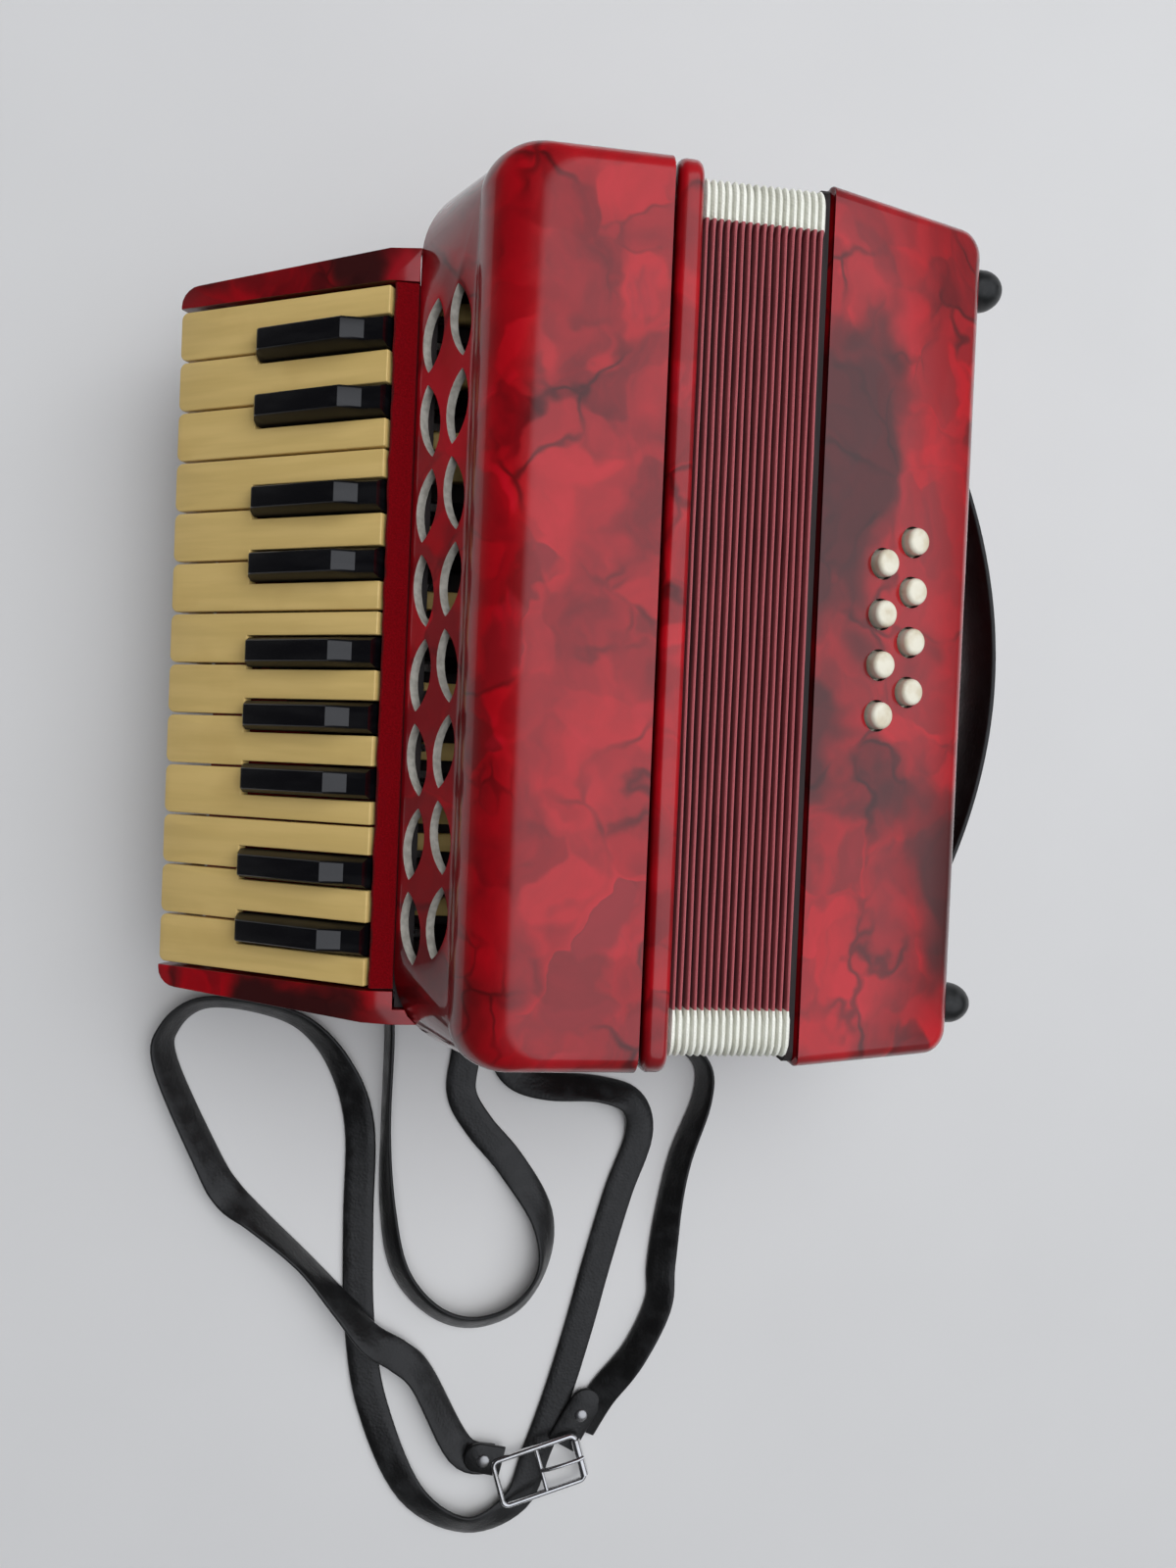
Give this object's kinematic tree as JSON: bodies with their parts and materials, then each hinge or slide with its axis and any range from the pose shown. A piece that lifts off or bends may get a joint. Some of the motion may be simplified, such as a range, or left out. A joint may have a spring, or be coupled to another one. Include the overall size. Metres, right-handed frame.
{
  "type": "piano accordion",
  "caption": "Small piano accordion on its back, with hinged piano keys, pleated bellows, sprung bass buttons, a hand strap and splayed shoulder straps.",
  "frame": {"origin": "on the treble body's flat back, under its middle: the face that the instrument lies on", "axes": "+X along the bellows from the keyboard to the bass side, +Y along the keyboard from the shoulder-strap loops upwards, +Z out of the front"},
  "size_m": [0.3158, 0.52, 0.142],
  "materials": {
    "red_pearloid": "glossy red pearloid with dark veins",
    "ivory_plastic": "satin, aged ivory",
    "black_plastic": "glossy black",
    "cream_plastic": "satin cream",
    "red_felt": "matte felt",
    "pale_wood": "bare wood",
    "black_board": "wood painted black",
    "bellows_cloth": "card folds covered in burgundy cloth",
    "black_leather": "satin black leather",
    "black_rubber": "moulded rubber",
    "steel": "plain steel",
    "bright_chrome": "polished chrome"
  },
  "bodies": {
    "treble": {"treble_body": "red_pearloid", "treble_flange": "red_pearloid", "treble_soundboard": "pale_wood", "treble_reed_block": "pale_wood", "treble_cover": "red_pearloid", "keyboard_case": "red_pearloid", "key_rail": "pale_wood", "felt_strip": "red_felt", "key_axle": "steel", "key_spring_comb": "steel", "bellows": "bellows_cloth", "shoulder_strap_long": "black_leather", "shoulder_strap_loop": "black_leather", "shoulder_strap_short": "black_leather", "buckle": "bright_chrome", "strap_bracket_wide": "steel", "strap_bracket_narrow": "steel"},
    "bass": {"bass_frame": "black_board", "bass_case": "red_pearloid", "bass_back_plate": "red_pearloid", "bass_reed_block": "pale_wood", "button_guide": "pale_wood", "foot_high_front": "black_rubber", "foot_low_front": "black_rubber", "foot_high_back": "black_rubber", "foot_low_back": "black_rubber", "hand_strap": "black_leather", "strap_anchor_high": "steel", "strap_anchor_low": "steel"},
    "white_key_01": {"white_key_01": "ivory_plastic"},
    "white_key_02": {"white_key_02": "ivory_plastic"},
    "white_key_03": {"white_key_03": "ivory_plastic"},
    "white_key_04": {"white_key_04": "ivory_plastic"},
    "white_key_05": {"white_key_05": "ivory_plastic"},
    "white_key_06": {"white_key_06": "ivory_plastic"},
    "white_key_07": {"white_key_07": "ivory_plastic"},
    "white_key_08": {"white_key_08": "ivory_plastic"},
    "white_key_09": {"white_key_09": "ivory_plastic"},
    "white_key_10": {"white_key_10": "ivory_plastic"},
    "white_key_11": {"white_key_11": "ivory_plastic"},
    "white_key_12": {"white_key_12": "ivory_plastic"},
    "white_key_13": {"white_key_13": "ivory_plastic"},
    "black_key_1": {"black_key_1": "black_plastic"},
    "black_key_2": {"black_key_2": "black_plastic"},
    "black_key_3": {"black_key_3": "black_plastic"},
    "black_key_4": {"black_key_4": "black_plastic"},
    "black_key_5": {"black_key_5": "black_plastic"},
    "black_key_6": {"black_key_6": "black_plastic"},
    "black_key_7": {"black_key_7": "black_plastic"},
    "black_key_8": {"black_key_8": "black_plastic"},
    "black_key_9": {"black_key_9": "black_plastic"},
    "bass_button_1": {"bass_button_1": "cream_plastic"},
    "bass_button_2": {"bass_button_2": "cream_plastic"},
    "bass_button_3": {"bass_button_3": "cream_plastic"},
    "bass_button_4": {"bass_button_4": "cream_plastic"},
    "bass_button_5": {"bass_button_5": "cream_plastic"},
    "bass_button_6": {"bass_button_6": "cream_plastic"},
    "bass_button_7": {"bass_button_7": "cream_plastic"},
    "bass_button_8": {"bass_button_8": "cream_plastic"},
    "air_button": {"air_button": "cream_plastic"}
  },
  "joints": [
    {"name": "bellows_slide", "type": "slide", "parent": "treble", "child": "bass", "axis": [1, 0, 0], "range_m": [0, 0.16], "deforming": ["bellows"]},
    {"name": "white_key_01_press", "type": "hinge", "parent": "treble", "child": "white_key_01", "pos_m": [-0.053, 0.0988, 0.097], "axis": [0, -1, 0], "range_deg": [0, 2.5], "stiffness_Nm_per_rad": 0.3, "springref_deg": -10.31},
    {"name": "white_key_02_press", "type": "hinge", "parent": "treble", "child": "white_key_02", "pos_m": [-0.053, 0.081, 0.097], "axis": [0, -1, 0], "range_deg": [0, 2.5], "stiffness_Nm_per_rad": 0.3, "springref_deg": -10.31},
    {"name": "white_key_03_press", "type": "hinge", "parent": "treble", "child": "white_key_03", "pos_m": [-0.053, 0.0632, 0.097], "axis": [0, -1, 0], "range_deg": [0, 2.5], "stiffness_Nm_per_rad": 0.3, "springref_deg": -10.31},
    {"name": "white_key_04_press", "type": "hinge", "parent": "treble", "child": "white_key_04", "pos_m": [-0.053, 0.0454, 0.097], "axis": [0, -1, 0], "range_deg": [0, 2.5], "stiffness_Nm_per_rad": 0.3, "springref_deg": -10.31},
    {"name": "white_key_05_press", "type": "hinge", "parent": "treble", "child": "white_key_05", "pos_m": [-0.053, 0.0276, 0.097], "axis": [0, -1, 0], "range_deg": [0, 2.5], "stiffness_Nm_per_rad": 0.3, "springref_deg": -10.31},
    {"name": "white_key_06_press", "type": "hinge", "parent": "treble", "child": "white_key_06", "pos_m": [-0.053, 0.0098, 0.097], "axis": [0, -1, 0], "range_deg": [0, 2.5], "stiffness_Nm_per_rad": 0.3, "springref_deg": -10.31},
    {"name": "white_key_07_press", "type": "hinge", "parent": "treble", "child": "white_key_07", "pos_m": [-0.053, -0.008, 0.097], "axis": [0, -1, 0], "range_deg": [0, 2.5], "stiffness_Nm_per_rad": 0.3, "springref_deg": -10.31},
    {"name": "white_key_08_press", "type": "hinge", "parent": "treble", "child": "white_key_08", "pos_m": [-0.053, -0.0258, 0.097], "axis": [0, -1, 0], "range_deg": [0, 2.5], "stiffness_Nm_per_rad": 0.3, "springref_deg": -10.31},
    {"name": "white_key_09_press", "type": "hinge", "parent": "treble", "child": "white_key_09", "pos_m": [-0.053, -0.0436, 0.097], "axis": [0, -1, 0], "range_deg": [0, 2.5], "stiffness_Nm_per_rad": 0.3, "springref_deg": -10.31},
    {"name": "white_key_10_press", "type": "hinge", "parent": "treble", "child": "white_key_10", "pos_m": [-0.053, -0.0614, 0.097], "axis": [0, -1, 0], "range_deg": [0, 2.5], "stiffness_Nm_per_rad": 0.3, "springref_deg": -10.31},
    {"name": "white_key_11_press", "type": "hinge", "parent": "treble", "child": "white_key_11", "pos_m": [-0.053, -0.0792, 0.097], "axis": [0, -1, 0], "range_deg": [0, 2.5], "stiffness_Nm_per_rad": 0.3, "springref_deg": -10.31},
    {"name": "white_key_12_press", "type": "hinge", "parent": "treble", "child": "white_key_12", "pos_m": [-0.053, -0.097, 0.097], "axis": [0, -1, 0], "range_deg": [0, 2.5], "stiffness_Nm_per_rad": 0.3, "springref_deg": -10.31},
    {"name": "white_key_13_press", "type": "hinge", "parent": "treble", "child": "white_key_13", "pos_m": [-0.053, -0.1148, 0.097], "axis": [0, -1, 0], "range_deg": [0, 2.5], "stiffness_Nm_per_rad": 0.3, "springref_deg": -10.31},
    {"name": "black_key_1_press", "type": "hinge", "parent": "treble", "child": "black_key_1", "pos_m": [-0.053, 0.0899, 0.097], "axis": [0, -1, 0], "range_deg": [0, 2.5], "stiffness_Nm_per_rad": 0.3, "springref_deg": -10.31},
    {"name": "black_key_2_press", "type": "hinge", "parent": "treble", "child": "black_key_2", "pos_m": [-0.053, 0.0721, 0.097], "axis": [0, -1, 0], "range_deg": [0, 2.5], "stiffness_Nm_per_rad": 0.3, "springref_deg": -10.31},
    {"name": "black_key_3_press", "type": "hinge", "parent": "treble", "child": "black_key_3", "pos_m": [-0.053, 0.0365, 0.097], "axis": [0, -1, 0], "range_deg": [0, 2.5], "stiffness_Nm_per_rad": 0.3, "springref_deg": -10.31},
    {"name": "black_key_4_press", "type": "hinge", "parent": "treble", "child": "black_key_4", "pos_m": [-0.053, 0.0187, 0.097], "axis": [0, -1, 0], "range_deg": [0, 2.5], "stiffness_Nm_per_rad": 0.3, "springref_deg": -10.31},
    {"name": "black_key_5_press", "type": "hinge", "parent": "treble", "child": "black_key_5", "pos_m": [-0.053, -0.0169, 0.097], "axis": [0, -1, 0], "range_deg": [0, 2.5], "stiffness_Nm_per_rad": 0.3, "springref_deg": -10.31},
    {"name": "black_key_6_press", "type": "hinge", "parent": "treble", "child": "black_key_6", "pos_m": [-0.053, -0.0347, 0.097], "axis": [0, -1, 0], "range_deg": [0, 2.5], "stiffness_Nm_per_rad": 0.3, "springref_deg": -10.31},
    {"name": "black_key_7_press", "type": "hinge", "parent": "treble", "child": "black_key_7", "pos_m": [-0.053, -0.0525, 0.097], "axis": [0, -1, 0], "range_deg": [0, 2.5], "stiffness_Nm_per_rad": 0.3, "springref_deg": -10.31},
    {"name": "black_key_8_press", "type": "hinge", "parent": "treble", "child": "black_key_8", "pos_m": [-0.053, -0.0881, 0.097], "axis": [0, -1, 0], "range_deg": [0, 2.5], "stiffness_Nm_per_rad": 0.3, "springref_deg": -10.31},
    {"name": "black_key_9_press", "type": "hinge", "parent": "treble", "child": "black_key_9", "pos_m": [-0.053, -0.1059, 0.097], "axis": [0, -1, 0], "range_deg": [0, 2.5], "stiffness_Nm_per_rad": 0.3, "springref_deg": -10.31},
    {"name": "bass_button_1_press", "type": "slide", "parent": "bass", "child": "bass_button_1", "axis": [-0.3322, 0, -0.9432], "range_m": [0, 0.003], "stiffness_N_per_m": 200, "springref_m": -0.003},
    {"name": "bass_button_2_press", "type": "slide", "parent": "bass", "child": "bass_button_2", "axis": [-0.3322, 0, -0.9432], "range_m": [0, 0.003], "stiffness_N_per_m": 200, "springref_m": -0.003},
    {"name": "bass_button_3_press", "type": "slide", "parent": "bass", "child": "bass_button_3", "axis": [-0.3322, 0, -0.9432], "range_m": [0, 0.003], "stiffness_N_per_m": 200, "springref_m": -0.003},
    {"name": "bass_button_4_press", "type": "slide", "parent": "bass", "child": "bass_button_4", "axis": [-0.3322, 0, -0.9432], "range_m": [0, 0.003], "stiffness_N_per_m": 200, "springref_m": -0.003},
    {"name": "bass_button_5_press", "type": "slide", "parent": "bass", "child": "bass_button_5", "axis": [-0.3322, 0, -0.9432], "range_m": [0, 0.003], "stiffness_N_per_m": 200, "springref_m": -0.003},
    {"name": "bass_button_6_press", "type": "slide", "parent": "bass", "child": "bass_button_6", "axis": [-0.3322, 0, -0.9432], "range_m": [0, 0.003], "stiffness_N_per_m": 200, "springref_m": -0.003},
    {"name": "bass_button_7_press", "type": "slide", "parent": "bass", "child": "bass_button_7", "axis": [-0.3322, 0, -0.9432], "range_m": [0, 0.003], "stiffness_N_per_m": 200, "springref_m": -0.003},
    {"name": "bass_button_8_press", "type": "slide", "parent": "bass", "child": "bass_button_8", "axis": [-0.3322, 0, -0.9432], "range_m": [0, 0.003], "stiffness_N_per_m": 200, "springref_m": -0.003},
    {"name": "air_button_press", "type": "slide", "parent": "bass", "child": "air_button", "axis": [-1, 0, 0], "range_m": [0, 0.004], "stiffness_N_per_m": 200, "springref_m": -0.003}
  ]
}
